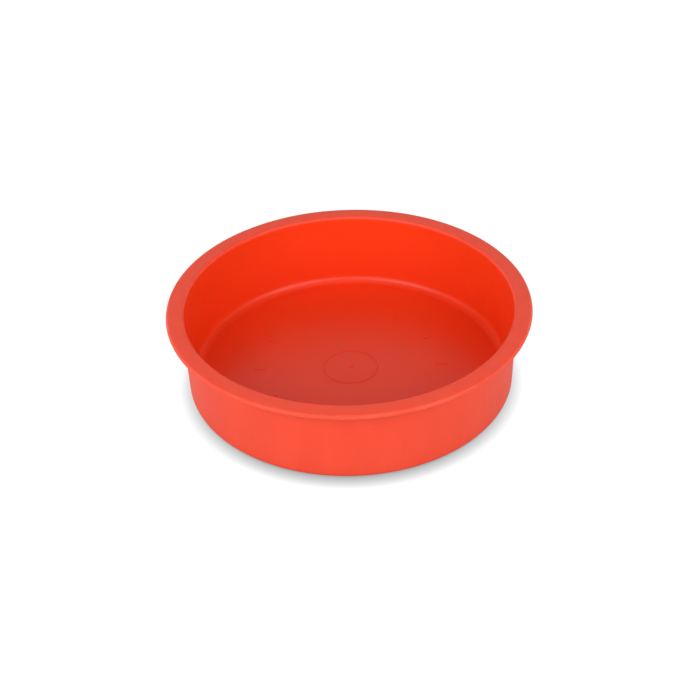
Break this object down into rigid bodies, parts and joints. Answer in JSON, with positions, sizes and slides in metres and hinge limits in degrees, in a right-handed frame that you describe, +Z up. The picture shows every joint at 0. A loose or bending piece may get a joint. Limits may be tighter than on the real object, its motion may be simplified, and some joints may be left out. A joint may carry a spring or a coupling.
{
  "type": "round cake pan",
  "caption": "Round silicone cake pan with straight wall, flat floor and wide flat flange stiffened by a moulded-in wire hoop.",
  "frame": {"origin": "centre of the pan's underside, on the surface that it stands on", "axes": "+Z up along the pan's axis, out of the mouth; X and Y lie in the underside and have no preferred direction"},
  "size_m": [0.255, 0.255, 0.061],
  "materials": {
    "silicone": "satin",
    "steel_wire": "satin"
  },
  "bodies": {
    "root": {"pan_body": "silicone", "rim_ring": "steel_wire"}
  },
  "joints": []
}
